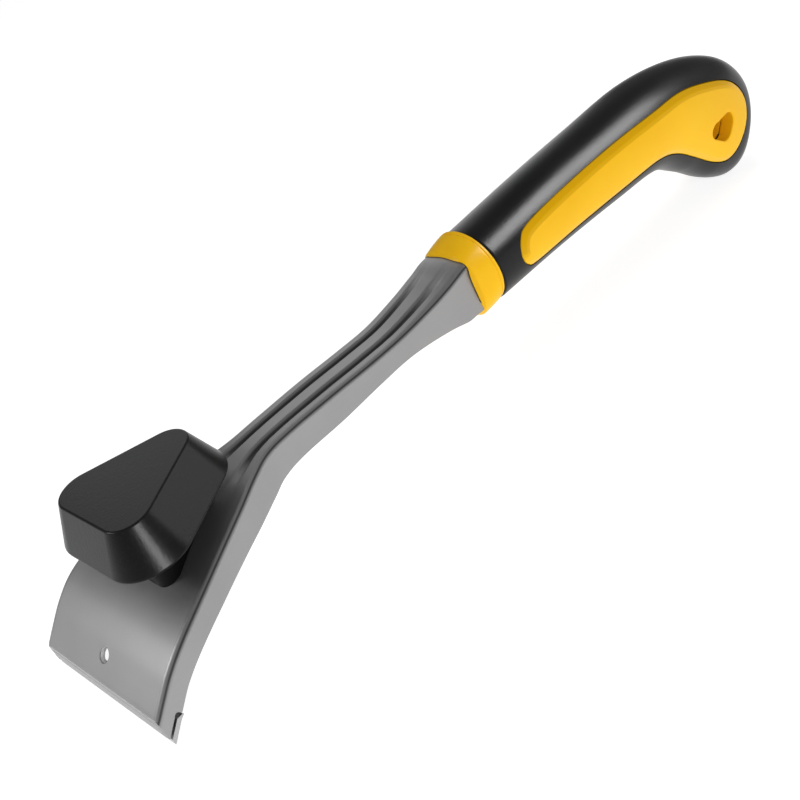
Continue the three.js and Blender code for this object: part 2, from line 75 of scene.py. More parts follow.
# ------------------------------------------------------------------------------- driving dimensions

SHEET = 1.6  # thickness of the pressed channel
BEND = 1.9  # outside radius of the bend between web and flanges
FOOT = 0.35  # rounding of the sheet's cut edges
CHANNEL_STEPS = 8  # sections between two rows of CHANNEL

# The channel's web from the tang's end to the blade: x, z of the web's top, half width, flange depth,
# height of the web's crown and depth of the two pressed grooves.
CHANNEL = [
    [62, -4.6, 6.0, 9.5, 0, 0],
    [24, -3.0, 6.3, 10.5, 0, 0],
    [10, -1.4, 6.9, 12.5, 0.6, 0],
    [0, 0.8, 9.7, 17.4, 1.7, 0],
    [-9, -0.4, 9.9, 16.0, 1.2, 0.2],
    [-18, -1.5, 9.6, 12.0, 0.6, 0.8],
    [-32, -2.3, 9.1, 8.6, 0, 1.2],
    [-46, -1.6, 9.2, 8.7, 0, 1.2],
    [-62, -0.3, 9.2, 10.0, 0, 1.2],
    [-80, 0.7, 9.0, 10.4, 0, 1.2],
    [-90, 0.7, 9.6, 11.1, 0, 1.2],
    [-98, -0.1, 12.4, 11.2, 0, 0.6],
    [-108, -1.4, 17.0, 10.4, 0, 0],
    [-119, -2.8, 21.8, 9.5, 0, 0],
    [-131, -4.6, 26.8, 8.7, 0, 0],
    [-140, -6.8, 29.6, 8.1, 0, 0],
    [-147.5, -9.9, 30.8, 7.7, 0, 0],
    [-154, -14.1, 31, 7.3, 0, 0],
    [-159, -18.35, 31, 7.2, 0, 0],
    [-163.9, -22.8, 31, 7.1, 0, 0],
]
FRONT_X, FRONT_Z = CHANNEL[-1][:2]
UPRIGHT_FROM = -146  # x from which the sections turn upright, to meet the upright front face
GROOVE_DEPTH = 1.2  # the grooves' full depth, as in CHANNEL
GROOVE_CENTRE = 0.525  # share of the way from the web's middle to its bend
GROOVE_HALF = 0.235  # half of a groove's width, as the same share
GROOVE_WALL = 0.62  # share of that half that the groove's wall takes
HEAD_SLOPE = math.radians(43)
HEAD_HALF = 31
SIGHT_HOLE = (7.5, 2.15)  # distance up the head, radius
SIGHT_CHAMFER = 0.3
SEAT_TOP, SEAT_FOOT = -1.9, -5.6  # distances out of the web's plane, as for the blade
BLADE_TOP, BLADE_FOOT = -5.9, -7.4
BLADE_FACE = -163.4  # x of the blade's front
SEAT_REAR = 0.8  # distance up the head at which the seat and the blade's full thickness end
CLAMP_LEVEL = -9.6  # the clamp plate's middle plane under the knob
CLAMP_SHEET = 1.6
BOLT_HOLE = 4.3
BOLT_SHANK = 3.9
BOLT_HEAD = 8.5
NECK_HALF = 4  # half of the side of the bolt's square neck
PIN_HOLE = 2.3
PIN_PLACES = {"tang_pin_front": 28, "tang_pin_rear": 52}
PIN_LEVEL = -9.5

# The handle from the collar to the tail: x, z along its back, x, z along its belly, and its half width.
HANDLE = [
    [9, 4.8, 9, -21.2, 13.5],
    [43, 4.9, 41.5, -23.4, 13.4],
    [74, 4.0, 71.5, -26.2, 13.9],
    [104, 2.6, 95.5, -29.4, 14.6],
    [128, -2.8, 111, -39.5, 14.6],
    [145.6, -11.6, 122, -49.2, 14.3],
    [154.6, -22.5, 130, -54.4, 13.2],
    [153.2, -31, 135.4, -56.2, 11.0],
    [147.6, -39.4, 137.6, -55.8, 8.6],
    [143.2, -46, 140, -54, 5.6],
    [141.2, -49.4, 140.4, -51.8, 2.4],
]
GRIP_SKIN = 2.8  # the grip's thickness along its back and belly
CORE_HALF = 9.4  # half of the core's width
CORE_SHORT = 0.015  # share of the handle's length by which the core ends before the hollow
HOLLOW_END = 0.62  # share of the handle's length at which the grip's hollow stops
INLAY_FLOOR = 10.0  # distance of the inlays' inner faces from the middle plane
# The side inlay's outline, as x, z, from its front end along the top, round the tail and back.
INLAY_LINE = [
    [27, -2.2], [46, -1.9], [72, -2.7], [95, -4.3], [112, -6.2], [127, -11.3], [139, -17.8], [144.6, -26],
    [142.4, -34.6], [136, -41.6], [129.4, -44.9], [122, -41.6], [112, -32.8], [103, -25.4], [93, -21.2],
    [74, -19.6], [50, -17.9], [27, -16.4], [21.2, -14.2], [19.2, -9.6], [21.4, -4.6],
]
HANG_HOLE = [[114.8, -25.8], [127.6, -36.2], [136.4, -25.6]]
HANG_ROUND = 3.0  # radius of the hanging hole's corners

# ------------------------------------------------------------------------------------- mesh helpers


def new_piece(name, vertices, faces):
    """A mesh object in the tool's frame, with its faces turned outwards."""
    mesh = bpy.data.meshes.new(name)
    mesh.from_pydata([tuple(v) for v in vertices], [], [tuple(f) for f in faces])
    bm = bmesh.new()
    bm.from_mesh(mesh)
    bmesh.ops.recalc_face_normals(bm, faces=bm.faces)
    bm.to_mesh(mesh)
    bm.free()
    piece = bpy.data.objects.new(name, mesh)
    bpy.context.scene.collection.objects.link(piece)
    return piece


def bake(piece):
    """Replaces the piece's mesh by what its modifiers make of it."""
    depsgraph = bpy.context.evaluated_depsgraph_get()
    mesh = bpy.data.meshes.new_from_object(piece.evaluated_get(depsgraph))
    piece.modifiers.clear()
    piece.data = mesh


def combine(piece, *others, how="DIFFERENCE"):
    """Cuts the other pieces out of the piece, or joins them to it, and deletes them."""
    for other in others:
        modifier = piece.modifiers.new("combine", "BOOLEAN")
        modifier.operation = how
        modifier.solver = "MANIFOLD"
        modifier.object = other
        bake(piece)
        bpy.data.objects.remove(other)
    return piece


def loft(name, rings):
    """A closed skin over rings of equal length, with its two ends filled."""
    count = len(rings[0])
    faces = [list(range(count)), [(len(rings) - 1) * count + k for k in range(count)]]
    for i in range(len(rings) - 1):
        for j in range(count):
            a = i * count + j
            b = i * count + (j + 1) % count
            faces.append([a, b, b + count, a + count])
    return new_piece(name, [v for ring in rings for v in ring], faces)


def prism_across(name, outline, y0, y1):
    """An outline in the XZ plane, made solid from y0 to y1."""
    return loft(name, [[(x, y, z) for x, z in outline] for y in (y0, y1)])


def turned(name, profile, centre, axis, sides=48):
    """A profile of (radius, height) points turned about an axis through centre, with closed ends."""
    axis = Vector(axis).normalized()
    side = axis.orthogonal().normalized()
    other = axis.cross(side)
    rings = []
    for radius, height in profile:
        ring = []
        for k in range(sides):
            angle = 2 * math.pi * k / sides
            spoke = side * math.cos(angle) + other * math.sin(angle)
            ring.append(Vector(centre) + axis * height + spoke * radius)
        rings.append(ring)
    return loft(name, rings)


def fillet(before, corner, after, radius, steps):
    """Points of the arc that rounds a corner."""
    corner = Vector(corner)
    u = (Vector(before) - corner).normalized()
    v = (Vector(after) - corner).normalized()
    half = u.angle(v) / 2
    centre = corner + (u + v).normalized() * (radius / math.sin(half))
    first = corner + u * (radius / math.tan(half)) - centre
    last = corner + v * (radius / math.tan(half)) - centre
    sweep = first.angle(last)
    if sweep < 1e-4:
        return [tuple(corner)]
    points = []
    for k in range(steps + 1):
        share = k / steps
        arm = (first * math.sin((1 - share) * sweep) + last * math.sin(share * sweep)) / math.sin(sweep)
        points.append(tuple(centre + arm))
    return points


def rounded_outline(corners, radius, steps=8):
    """A closed outline whose corners are arcs of one radius."""
    count = len(corners)
    points = []
    for i, corner in enumerate(corners):
        points += fillet(corners[i - 1], corner, corners[(i + 1) % count], radius, steps)
    return points


def curve_at(rows, t, closed=False):
    """A smooth curve through a table's rows. t is 0 at the first and 1 at the last, or back at the first."""
    rows = np.asarray(rows, float)
    if closed:
        padded = np.vstack([rows[-1], rows, rows[:2]])
    else:
        padded = np.vstack([2 * rows[0] - rows[1], rows, 2 * rows[-1] - rows[-2]])
    spans = len(padded) - 3
    place = min(max(t, 0.0), 1.0) * spans
    i = min(int(place), spans - 1)
    u = place - i
    a, b, c, d = padded[i:i + 4]
    start = (c - a) / 2
    end = (d - b) / 2
    return ((2 * u**3 - 3 * u**2 + 1) * b + (u**3 - 2 * u**2 + u) * start
            + (3 * u**2 - 2 * u**3) * c + (u**3 - u**2) * end)


def smoothstep(value):
    """0 up to 0, 1 from 1 on, and an even S between."""
    value = min(max(value, 0.0), 1.0)
    return value * value * (3 - 2 * value)


def superellipse(half_width, half_height, exponent, sides):
    """An oblong outline: exponent 2 is an ellipse, higher is squarer."""
    points = []
    for k in range(sides):
        angle = 2 * math.pi * k / sides
        c, s = math.cos(angle), math.sin(angle)
        points.append((math.copysign(abs(c) ** (2 / exponent), c) * half_width,
                       math.copysign(abs(s) ** (2 / exponent), s) * half_height))
    return points


def contains(outline, points):
    """Which of the 2D points lie inside a closed outline."""
    points = np.asarray(points, float)
    inside = np.zeros(len(points), bool)
    for (x0, y0), (x1, y1) in zip(outline, outline[1:] + outline[:1]):
        if y0 == y1:
            continue
        spans = (points[:, 1] > min(y0, y1)) & (points[:, 1] <= max(y0, y1))
        inside ^= spans & (points[:, 0] < x0 + (points[:, 1] - y0) * (x1 - x0) / (y1 - y0))
    return inside


def offset_outline(outline, distance):
    """The outline moved outwards by a distance, or inwards where it is negative."""
    points = np.asarray(outline, float)
    before = np.roll(points, 1, axis=0)
    after = np.roll(points, -1, axis=0)
    area = np.sum(points[:, 0] * after[:, 1] - after[:, 0] * points[:, 1])
    step = after - before
    normal = np.stack([step[:, 1], -step[:, 0]], axis=1) * np.sign(area)
    normal /= np.linalg.norm(normal, axis=1)[:, None]
    return [tuple(p) for p in points + normal * distance]


def fill_patch(loops, holes, spacing, margin):
    """Triangles that fill the first loop but not the holes, keeping every loop's points and edges."""
    points = []
    edges = []
    for outline in loops + holes:
        first = len(points)
        points += outline
        edges += [(first + k, first + (k + 1) % len(outline)) for k in range(len(outline))]
    low = np.min(points, axis=0)
    high = np.max(points, axis=0)
    columns = np.arange(low[0], high[0], spacing)
    rows = np.arange(low[1], high[1], spacing)
    grid = np.array([(x + (j % 2) * spacing / 2, y) for j, y in enumerate(rows) for x in columns])
    fixed = np.array(points)
    near = np.min(np.linalg.norm(grid[:, None, :] - fixed[None, :, :], axis=2), axis=1) < margin
    keep = contains(loops[-1], grid) & ~near
    for hole in holes:
        keep &= ~contains(hole, grid)
    points += [tuple(p) for p in grid[keep]]
    flat, _, triangles, *_ = delaunay_2d_cdt([Vector(p) for p in points], edges, [], 0, 1e-5)
    centres = [sum((flat[i] for i in t), Vector((0, 0))) / 3 for t in triangles]
    used = contains(loops[0], centres)
    for hole in holes:
        used &= ~contains(hole, centres)
    return [tuple(p) for p in flat], [t for t, ok in zip(triangles, used) if ok]


def thick_patch(name, points, triangles, top, bottom):
    """A closed solid between two liftings of a filled patch."""
    count = len(points)
    vertices = [top(p) for p in points] + [bottom(p) for p in points]
    faces = [tuple(t) for t in triangles] + [tuple(count + i for i in reversed(t)) for t in triangles]
    sides = {}
    for a, b, c in triangles:
        for pair in ((a, b), (b, c), (c, a)):
            if (pair[1], pair[0]) in sides:
                del sides[(pair[1], pair[0])]
            else:
                sides[pair] = True
    faces += [(b, a, count + a, count + b) for a, b in sides]
    piece = new_piece(name, vertices, faces)
    bm = bmesh.new()
    bm.from_mesh(piece.data)
    bmesh.ops.delete(bm, geom=[v for v in bm.verts if not v.link_faces], context="VERTS")
    bm.to_mesh(piece.data)
    bm.free()
    return piece


def place_piece(piece, body, material, stands_for, sharp=35):
    """Moves a finished piece into the frame, shades it and fastens it to its body."""
    piece.data.transform(TOOL)
    piece.data.polygons.foreach_set("use_smooth", [True] * len(piece.data.polygons))
    piece.data.set_sharp_from_angle(angle=math.radians(sharp))
    normals = piece.modifiers.new("normals", "WEIGHTED_NORMAL")
    normals.keep_sharp = True
    normals.weight = 50
    piece.data.materials.clear()
    piece.data.materials.append(material)
    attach(piece, body)
    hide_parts(stands_for)
    return piece


# ------------------------------------------------------------------------------------ steel channel

ALONG_HEAD = Vector((math.cos(HEAD_SLOPE), math.sin(HEAD_SLOPE)))
OUT_OF_HEAD = Vector((-math.sin(HEAD_SLOPE), math.cos(HEAD_SLOPE)))
WEB_SHARES = [*np.linspace(0, 0.25, 4), *np.linspace(0.29, 0.77, 17), *np.linspace(0.82, 0.98, 3)]


def head_point(along, out):
    """x, z of a point of the sloping head: up the web from its front edge, and out of the web."""
    return tuple(Vector((FRONT_X, FRONT_Z)) + ALONG_HEAD * along + OUT_OF_HEAD * out)


def face_point(x, out):
    """Where a line parallel to the head's web meets an upright plane at x."""
    return head_point((x - FRONT_X - out * OUT_OF_HEAD.x) / ALONG_HEAD.x, out)


def press(share):
    """Depth of the pressed groove, 0 to 1, across half of the web."""
    return smoothstep((1 - abs(share - GROOVE_CENTRE) / GROOVE_HALF) / GROOVE_WALL)


def section_half(half, depth, crown, groove, grow, inside):
    """Half of the channel's section as y and height, from the web's middle to the flange's foot."""
    flat = half - BEND
    drop = -SHEET - grow if inside else grow
    radius = BEND - SHEET - grow if inside else BEND + grow
    inward = 1 if inside else -1

    def arch(y):
        return crown * (1 - (min(y, half) / half) ** 2)

    points = [(share * flat, drop + arch(share * flat) - groove * press(share)) for share in WEB_SHARES]
    bend_steps = 7
    for k in range(bend_steps + 1):
        angle = math.pi / 2 * (1 - k / bend_steps)
        y = flat + radius * math.cos(angle)
        points.append((y, -BEND + radius * math.sin(angle) + arch(y)))
    side = flat + radius
    foot = -depth - grow
    for turn_share in (0, 1 / 3, 2 / 3, 1):
        angle = turn_share * math.pi / 2
        points.append((side + inward * FOOT * (1 - math.cos(angle)), foot + FOOT * (1 - math.sin(angle))))
    return points


def channel_ring(values, tangent, grow, shear):
    """One section of the channel in its place. shear 1 lays it in an upright plane."""
    x, z, *rest = values
    outer = section_half(*rest, grow, False)
    inner = section_half(*rest, grow, True)
    section = [(-y, v) for y, v in outer[:0:-1]] + outer + inner[:0:-1] + [(-y, v) for y, v in inner]
    slope = tangent.y / tangent.x
    ring = []
    for y, v in section:
        along = shear * v * slope
        ring.append((x - tangent.y * v + tangent.x * along, y, z + tangent.x * v + tangent.y * along))
    return ring


def channel(name, grow=0.0, steps=CHANNEL_STEPS):
    """The pressed channel from its tang to its upright front face, with the front's edges rounded."""
    spans = (len(CHANNEL) - 1) * steps
    rings = []
    for i in range(spans + 1):
        before = curve_at(CHANNEL, (i - 0.4) / spans)
        after = curve_at(CHANNEL, (i + 0.4) / spans)
        tangent = Vector(before[:2] - after[:2]).normalized()
        values = curve_at(CHANNEL, i / spans)
        shear = smoothstep((UPRIGHT_FROM - values[0]) / (UPRIGHT_FROM - FRONT_X))
        if i < spans:
            rings.append(channel_ring(values, tangent, grow, shear))
    for ahead, inset in ((0.25, 0), (0.07, 0.07), (0, 0.25)):
        ring = channel_ring(CHANNEL[-1], tangent, grow - inset, 1)
        rings.append([(x + ahead, y, z) for x, y, z in ring])
    return loft(name, rings)


def blade_notches():
    """The form that cuts the blade's notches in the flanges' ends, with a round relief in the corner."""
    top, foot = -5.0, -14
    front, rear = -12, 2.8
    centre, relief = (2.0, -5.8), 0.9
    steps = 14
    reach = math.sqrt(relief**2 - (rear - centre[0]) ** 2)
    start = math.pi - math.acos(reach / relief)
    end = -math.acos((rear - centre[0]) / relief)
    arc = [start + (end - start) * k / steps for k in range(steps + 1)]
    outline = [(front, top)]
    outline += [(centre[0] + relief * math.cos(a), centre[1] + relief * math.sin(a)) for a in arc]
    outline += [(rear, foot), (front, foot)]
    return prism_across("notches", [head_point(*p) for p in outline], -REACH, REACH)


def pin_holes():
    return [turned("pin_hole", [(PIN_HOLE, -REACH), (PIN_HOLE, REACH)], (place, 0, PIN_LEVEL), (0, 1, 0))
            for place in PIN_PLACES.values()]


def scraper_body():
    along, radius = SIGHT_HOLE
    wide = radius + SIGHT_CHAMFER
    x, z = head_point(along, 0)
    out = (OUT_OF_HEAD.x, 0, OUT_OF_HEAD.y)
    sight = turned("sight", [(radius, -5), (radius, -SIGHT_CHAMFER), (wide, 0), (wide, 4)], (x, 0, z), out)
    bolt = turned("bolt_hole", [(BOLT_HOLE, -20), (BOLT_HOLE, 10)], (KNOB_X, 0, 0), (0, 0, 1))
    body = combine(channel("scraper_body_sheet"), blade_notches(), sight, bolt, *pin_holes())
    mark_pressing(body)
    return body


def mark_pressing(body):
    """Stores each vertex's place in the pressing, which the steel uses for a painted dark reflection along
    the bend and painted shade in the grooves.

    crease: how far round the outside of the bend, 1 at the web, 0 at the flange and -1 elsewhere.
    groove: how deep in a pressed groove, 0 to 1.
    """
    slack = 0.02
    skin = 0.6  # depth below the bend's outside that still counts as its outside
    web_skin = 1.5
    spans = (len(CHANNEL) - 1) * CHANNEL_STEPS
    line = np.array([curve_at(CHANNEL, i / spans) for i in range(spans + 1)])[::-1]
    marks = np.full(len(body.data.vertices), -1.0)
    grooves = np.zeros(len(body.data.vertices))
    for vertex in body.data.vertices:
        x, y, z = vertex.co
        web = np.interp(x, line[:, 0], line[:, 1])
        half = np.interp(x, line[:, 0], line[:, 2])
        slope = (np.interp(x + 1, line[:, 0], line[:, 1]) - np.interp(x - 1, line[:, 0], line[:, 1])) / 2
        up = (z - web) / math.sqrt(1 + slope**2) + BEND
        out = abs(y) - (half - BEND)
        if out > -slack and up > -slack and math.hypot(out, up) > BEND - skin:
            marks[vertex.index] = math.atan2(max(up, 0), max(out, 0)) / (math.pi / 2)
        depth = np.interp(x, line[:, 0], line[:, 5])
        # the groove mark sets where the steel gets painted shade
        if up > BEND - web_skin:
            grooves[vertex.index] = depth / GROOVE_DEPTH * press(abs(y) / (half - BEND))
    for name, values in (("crease", marks), ("groove", grooves)):
        layer = body.data.attributes.new(name, "FLOAT", "POINT")
        layer.data.foreach_set("value", values)


def shine_cut_faces(piece, material):
    """Gives the bright cut steel to the upright front faces and to the wall of the sight hole."""
    piece.data.materials.append(material)
    front = (TOOL @ Vector((FRONT_X + 0.3, 0, 0))).x
    x, z = head_point(SIGHT_HOLE[0], 0)
    centre = TOOL @ Vector((x, 0, z))
    axis = (TO_ROW @ Vector((OUT_OF_HEAD.x, 0, OUT_OF_HEAD.y))).normalized()
    reach = (SIGHT_HOLE[1] + 0.4) * 0.001
    for face in piece.data.polygons:
        spot = face.center - centre
        beside = (spot - axis * spot.dot(axis)).length
        ahead = face.center.x < front and face.normal.x < -0.6
        if ahead or (beside < reach and abs(face.normal.dot(axis)) < 0.4):
            face.material_index = 1


# ---------------------------------------------------------------------------- blade, seat and clamp


def strip(name, corners, half, edge):
    """A long bar across the head with every edge rounded."""
    rings = []
    for y, inset in ((-half, edge), (-half + edge * 0.3, edge * 0.3), (-half + edge, 0),
                     (half - edge, 0), (half - edge * 0.3, edge * 0.3), (half, edge)):
        outline = rounded_outline(corners, edge * 1.2, 4)
        rings.append([(x, y, z) for x, z in offset_outline(outline, -inset)])
    return loft(name, rings)


def blade_seat():
    corners = [
        head_point(SEAT_REAR, SEAT_TOP),
        head_point(SEAT_REAR, SEAT_FOOT),
        face_point(FRONT_X, SEAT_FOOT),
        face_point(FRONT_X, SEAT_TOP),
    ]
    return strip("blade_seat_bar", corners, 29.0, 0.15)


def blade():
    corners = [
        face_point(BLADE_FACE, BLADE_TOP),
        face_point(BLADE_FACE, BLADE_FOOT),
        head_point(SEAT_REAR, BLADE_FOOT),
        head_point(2.4, -7.75),
        head_point(2.4, -7.15),
        head_point(1.0, BLADE_TOP),
    ]
    return strip("blade_strip", corners, HEAD_HALF, 0.06)


def clamp_line():
    """The middle line of the clamp plate's side view, with its bends rounded."""
    below_blade = 0.7
    lip = BLADE_FOOT - below_blade - CLAMP_SHEET / 2
    corners = [head_point(-2, lip), head_point(6.2, lip), (-147, -18.2), (-141, -13), (-136.5, CLAMP_LEVEL),
               (-113, CLAMP_LEVEL), (-109.4, -8), (-107.6, -4.6)]
    line = [corners[0]]
    for before, corner, after in zip(corners, corners[1:], corners[2:]):
        line += fillet(before, corner, after, 2.0, 5)
    return line + [corners[-1]]


def clamp_plate():
    """The stamped plate: a wide lip with two windows under the blade, and a tail with a square hole."""
    line = np.array(clamp_line())
    travelled = np.concatenate([[0], np.cumsum(np.linalg.norm(np.diff(line, axis=0), axis=1))])

    def at_x(x):
        return float(np.interp(x, line[:, 0], travelled))

    def follow(point):
        along, y = point
        x, z = (float(np.interp(along, travelled, column)) for column in line.T)
        return (x, y, z)

    lip_half, tail_half = 26, 10.5
    half_plan = [(travelled[0], lip_half), (at_x(-147), lip_half),
                 (at_x(-132), tail_half), (travelled[-1], tail_half)]
    outline = rounded_outline(half_plan + [(s, -y) for s, y in reversed(half_plan)], 1.6, 6)
    square = NECK_HALF + GAP
    hole = rounded_outline([(at_x(KNOB_X - square), -square), (at_x(KNOB_X + square), -square),
                            (at_x(KNOB_X + square), square), (at_x(KNOB_X - square), square)], 0.4, 2)
    windows = []
    for y0, y1 in ((9.5, 20.5), (-20.5, -9.5)):
        front, rear = at_x(-157.6), at_x(-149)
        windows.append(rounded_outline([(front, y0), (rear, y0), (rear, y1), (front, y1)], 2.4, 6))
    points, triangles = fill_patch([outline], [hole, *windows], 1.0, 0.55)
    used = sorted({i for t in triangles for i in t})
    order = {old: new for new, old in enumerate(used)}
    plate = new_piece("clamp_plate_sheet", [follow(points[i]) for i in used],
                      [tuple(order[i] for i in t) for t in triangles])
    thicken = plate.modifiers.new("thickness", "SOLIDIFY")
    thicken.thickness = CLAMP_SHEET
    thicken.offset = 0
    thicken.use_even_offset = True
    edges = plate.modifiers.new("edges", "BEVEL")
    edges.width = 0.2
    edges.segments = 2
    edges.angle_limit = math.radians(50)
    bake(plate)
    return plate


def clamp_bolt():
    """A coach bolt: domed head, square neck, threaded shank with a pointed end."""
    under = CLAMP_LEVEL - CLAMP_SHEET / 2 - GAP
    rise, rim = 2.0, 0.6
    dome = [(BOLT_HEAD * math.sin(a), under - rim - rise * math.cos(a))
            for a in np.linspace(0.08, math.pi / 2, 12)]
    profile = dome + [(BOLT_HEAD, under - 0.15), (BOLT_HEAD - 0.15, under), (BOLT_SHANK, under)]
    pitch, depth, top = 1.25, 0.3, 13.2
    first = under + 3.6
    turns = int((top - 1.0 - first) / pitch)
    for k in range(turns):
        foot = first + k * pitch
        profile += [
            (BOLT_SHANK, foot + 0.1),
            (BOLT_SHANK - depth, foot + pitch * 0.5),
            (BOLT_SHANK, foot + pitch * 0.9),
        ]
    profile += [(BOLT_SHANK, top - 0.8), (BOLT_SHANK - 0.8, top)]
    bolt = turned("clamp_bolt_turned", profile, (KNOB_X, 0, 0), (0, 0, 1))
    corners = [(KNOB_X + u * NECK_HALF, v * NECK_HALF) for u, v in ((-1, -1), (1, -1), (1, 1), (-1, 1))]
    square = rounded_outline(corners, 0.3, 3)
    neck = loft("neck", [[(x, y, z) for x, y in square] for z in (under - 0.4, under + 3.1)])
    return combine(bolt, neck, how="UNION")


# ----------------------------------------------------------------------------------------- the knob

KNOB_HEIGHT = 14
KNOB_DRAFT = 6  # how far the sloping sides carry the outline out from top to base
KNOB_HALF = 24.5  # half of the top's base side before its corners are rounded
KNOB_MEDIAN = 46  # from the middle of that side to the opposite corner, before rounding
KNOB_CORNER = 7.9
KNOB_EDGE = 0.8
POCKET_RADIUS, POCKET_DEPTH = 7.8, 9.2  # the six-sided pocket that holds the brass insert
PEDESTAL_INSET = 9.7  # how far the foot's outline lies within the knob's base
RECESS_RADIUS, RECESS_DEPTH = 9.3, 1.3  # the washer's recess in the foot


def knob_outline(outset):
    """The knob's outline, a triangle with rounded corners, grown outwards by outset."""
    apex = math.atan2(KNOB_HALF, KNOB_MEDIAN)
    rear = -KNOB_MEDIAN / 3 - outset
    front = KNOB_MEDIAN * 2 / 3 + outset / math.sin(apex)
    half = (front - rear) * math.tan(apex)
    corners = [(rear, -half), (front, 0), (rear, half)]
    return [(KNOB_X + x, y) for x, y in rounded_outline(corners, KNOB_CORNER + outset, 16)]


def knob_levels(edge):
    """Outset and height of each level of the knob, with both edges rounded."""
    base = fillet((-20, 0), (KNOB_DRAFT, 0), (0, KNOB_HEIGHT), edge, 5)
    top = fillet((KNOB_DRAFT, 0), (0, KNOB_HEIGHT), (-20, KNOB_HEIGHT), edge, 5)
    return base + top


def knob_shell():
    rings = []
    for outset, height in knob_levels(KNOB_EDGE):
        rings.append([(x, y, KNOB_BASE + height) for x, y in knob_outline(outset)])
    walls = [(POCKET_RADIUS, KNOB_BASE - 1), (POCKET_RADIUS, KNOB_BASE + POCKET_DEPTH)]
    pocket = turned("pocket", walls, (KNOB_X, 0, 0), (0, 0, 1), sides=6)
    return combine(loft("knob_moulding", rings), pocket)


def knob_pedestal():
    """The foot under the knob. It follows the knob's outline, inset, down to the curve of the web."""
    top = KNOB_BASE - GAP
    outset = KNOB_DRAFT - PEDESTAL_INSET
    rings = []
    for inset, z in ((0, -12), (0, top - 0.5), (0.15, top - 0.15), (0.5, top)):
        rings.append([(x, y, z) for x, y in knob_outline(outset - inset)])
    row_behind = 9
    web = [curve_at(CHANNEL, t) for t in np.linspace(row_behind / (len(CHANNEL) - 1), 1, 60)]
    below = [(FRONT_X, -REACH), (web[0][0], -REACH)] + [(row[0], row[1] + 0.05) for row in web]
    seat = [(RECESS_RADIUS, top - RECESS_DEPTH), (RECESS_RADIUS, top + 1)]
    recess = turned("recess", seat, (KNOB_X, 0, 0), (0, 0, 1))
    bore = turned("bore", [(BOLT_HOLE, -20), (BOLT_HOLE, top + 1)], (KNOB_X, 0, 0), (0, 0, 1))
    return combine(loft("knob_foot", rings), prism_across("below", below, -REACH, REACH), recess, bore)


# --------------------------------------------------------------------------------------- the handle


def collar():
    """The collar hugs the channel at its front, is round at its rear and has a fine rim there."""
    front, rear = -1, 8.7
    radius = 13.9
    front_half, front_tall = 11.2, 12.1
    front_centre, climb = -8.6, 1.1
    front_exponent, round_exponent = 3.2, 2.0
    # Share of the length and inset of each level: the front chamfer, the barrel, the groove before the
    # rear rim, and the rim.
    levels = [(0, 1.3), (0.02, 1.0), (0.11, 0.12), (0.14, 0), (0.35, 0), (0.6, 0), (0.8, 0), (0.845, 0.05),
              (0.86, 0.3), (0.88, 0.3), (0.895, 0.06), (0.91, 0), (0.97, 0.02), (0.99, 0.2), (1, 0.5)]
    rings = []
    for share, inset in levels:
        half_width = front_half + (radius - front_half) * share - inset
        half_height = front_tall + (radius - front_tall) * share - inset
        middle = front_centre + climb * share
        exponent = front_exponent + (round_exponent - front_exponent) * share
        outline = superellipse(half_width, half_height, exponent, 120)
        rings.append([(front + (rear - front) * share, y, middle + z) for y, z in outline])
    return combine(loft("collar_ring", rings), channel("collar_cutter", GAP, 3))


def handle(name, skin=0.0, widest=math.inf, sides=96, spans=120, rounded=False, end=1.0, short=0.0):
    """The handle's form, shrunk by skin and no wider than widest, up to the share end of its length."""
    crowding = 1.25  # over 1 crowds the sections together towards the tail
    front_exponent, exponent_loss = 2.25, 0.35  # the section is squarest in front and flattest at the tail
    levels = [(min(end * (1 - (1 - i / spans) ** crowding), end - short), 0) for i in range(spans + 1)]
    if rounded:
        levels = [(0, 0.6), (0.0006, 0.25), (0.0018, 0.06), (0.003, 0)] + levels[1:]
    rings = []
    for t, inset in levels:
        back_x, back_z, belly_x, belly_z, width = curve_at(HANDLE, t)
        middle = Vector((back_x + belly_x, back_z + belly_z)) / 2
        up = Vector((back_x - belly_x, back_z - belly_z))
        tall = max(up.length / 2 - skin - inset, 0.2)
        wide = max(min(width - skin - inset, widest), 0.2)
        up.normalize()
        exponent = front_exponent - exponent_loss * min(max((t - 0.5) / 0.3, 0), 1)
        rings.append([(middle.x + up.x * v, y, middle.y + up.y * v)
                      for y, v in superellipse(wide, tall, exponent, sides)])
    return loft(name, rings)


def hang_line():
    return rounded_outline(HANG_HOLE, HANG_ROUND, 10)


def hang_hole():
    return prism_across("hang_hole", hang_line(), -REACH, REACH)


def handle_core():
    core = handle("core_moulding", GRIP_SKIN + GAP, CORE_HALF, 64, 70, end=HOLLOW_END, short=CORE_SHORT)
    start = HANDLE[0][0]
    before = prism_across("before", [(-REACH, -REACH), (start, -REACH), (start, REACH), (-REACH, REACH)],
                          -REACH, REACH)
    return combine(core, before, channel("core_cutter", GAP, 3), hang_hole(), *pin_holes())


def inlay_outline(grow):
    """The side inlay's outline, grown outwards by grow."""
    count = 8 * len(INLAY_LINE)
    outline = [tuple(curve_at(INLAY_LINE, k / count, closed=True)) for k in range(count)]
    return offset_outline(outline, grow)


class Surface:
    """The handle's outer surface, read sideways: how far it stands out from the middle plane at x, z."""

    def __init__(self):
        form = handle("form")
        self.tree = BVHTree.FromPolygons([v.co for v in form.data.vertices],
                                         [tuple(p.vertices) for p in form.data.polygons])
        bpy.data.objects.remove(form)

    def half_width(self, x, z):
        hit = self.tree.ray_cast(Vector((x, REACH, z)), Vector((0, -1, 0)))[0]
        return hit.y if hit else 0.0


